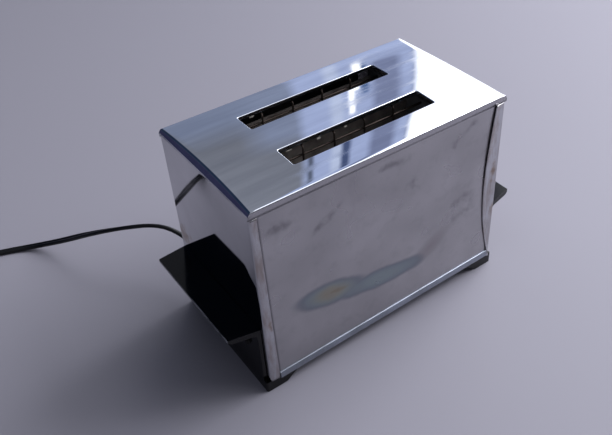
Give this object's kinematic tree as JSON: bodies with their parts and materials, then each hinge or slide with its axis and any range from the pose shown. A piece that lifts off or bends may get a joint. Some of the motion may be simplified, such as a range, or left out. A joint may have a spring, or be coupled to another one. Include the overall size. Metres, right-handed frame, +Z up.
{
  "type": "toaster",
  "caption": "Chrome two-slice pop-up toaster with a crowned top, black end mouldings that are handle and foot, inner works and a mains lead.",
  "frame": {"origin": "on the floor, under the middle of the case", "axes": "+X along the case towards the lift lever and the browning knob, +Y from the front side panel to the rear one, +Z up"},
  "size_m": [0.5662, 0.3662, 0.1972],
  "materials": {
    "plated_case": "polished chrome plate with light wear",
    "black_phenolic": "glossy moulded phenolic",
    "plated_screws": "nickel plated steel",
    "zinc_steel": "zinc plated sheet steel",
    "guard_wire": "heat browned steel wire",
    "mica": "translucent mica sheet",
    "heater_alloy": "oxidised resistance ribbon",
    "ceramic": "unglazed insulator",
    "brass": "stamped brass",
    "fibre_board": "red brown fibre",
    "black_rubber": "smooth black rubber"
  },
  "bodies": {
    "root": {"top_shell": "plated_case", "front_side_panel": "plated_case", "rear_side_panel": "plated_case", "left_end_cap": "plated_case", "right_end_cap": "plated_case", "left_end_moulding": "black_phenolic", "right_end_moulding": "black_phenolic", "moulding_screws": "plated_screws", "base_pan": "zinc_steel", "base_screws": "plated_screws", "crumb_hinge_pin": "zinc_steel", "left_frame_plate": "zinc_steel", "right_frame_plate": "zinc_steel", "front_mica_card": "mica", "middle_mica_card": "mica", "rear_mica_card": "mica", "front_heater_ribbon": "heater_alloy", "middle_heater_ribbon": "heater_alloy", "rear_heater_ribbon": "heater_alloy", "front_outer_guard": "guard_wire", "front_inner_guard": "guard_wire", "rear_inner_guard": "guard_wire", "rear_outer_guard": "guard_wire", "guide_rod": "zinc_steel", "stop_bumper": "black_rubber", "carriage_spring": "zinc_steel", "latch_bracket": "zinc_steel", "latch_pin": "zinc_steel", "bimetal_strip": "brass", "control_bracket": "zinc_steel", "terminal_block": "ceramic", "terminal_screws": "plated_screws", "switch_block": "ceramic", "switch_blades": "brass", "bus_bar": "brass", "inner_leads": "black_rubber", "strain_relief": "black_rubber", "mains_lead": "black_rubber", "lead_coil": "black_rubber", "coil_tie": "black_rubber", "plug_body": "black_phenolic", "plug_blades": "brass"},
    "carriage": {"carriage_bracket": "zinc_steel", "front_bread_rack": "zinc_steel", "rear_bread_rack": "zinc_steel", "lift_knob": "black_phenolic"},
    "browning_control": {"browning_shaft": "zinc_steel", "browning_cam": "fibre_board", "browning_knob": "black_phenolic"},
    "latch": {"latch_lever": "zinc_steel"},
    "crumb_tray": {"crumb_door": "zinc_steel", "door_catch": "zinc_steel"}
  },
  "joints": [
    {"name": "carriage_slide", "type": "slide", "parent": "root", "child": "carriage", "axis": [0, 0, -1], "range_m": [0, 0.06], "stiffness_N_per_m": 100, "springref_m": -0.03, "deforming": ["carriage_spring"]},
    {"name": "browning_turn", "type": "hinge", "parent": "root", "child": "browning_control", "pos_m": [0.12, 0, 0.04], "axis": [1, 0, 0], "range_deg": [0, 270]},
    {"name": "latch_swing", "type": "hinge", "parent": "root", "child": "latch", "pos_m": [0.1, -0.024, 0.032], "axis": [-1, 0, 0], "range_deg": [0, 7], "stiffness_Nm_per_rad": 0.02, "springref_deg": -5.73},
    {"name": "crumb_door_hinge", "type": "hinge", "parent": "root", "child": "crumb_tray", "pos_m": [0, 0.054, 0.0092], "axis": [1, 0, 0], "range_deg": [0, 85]}
  ]
}
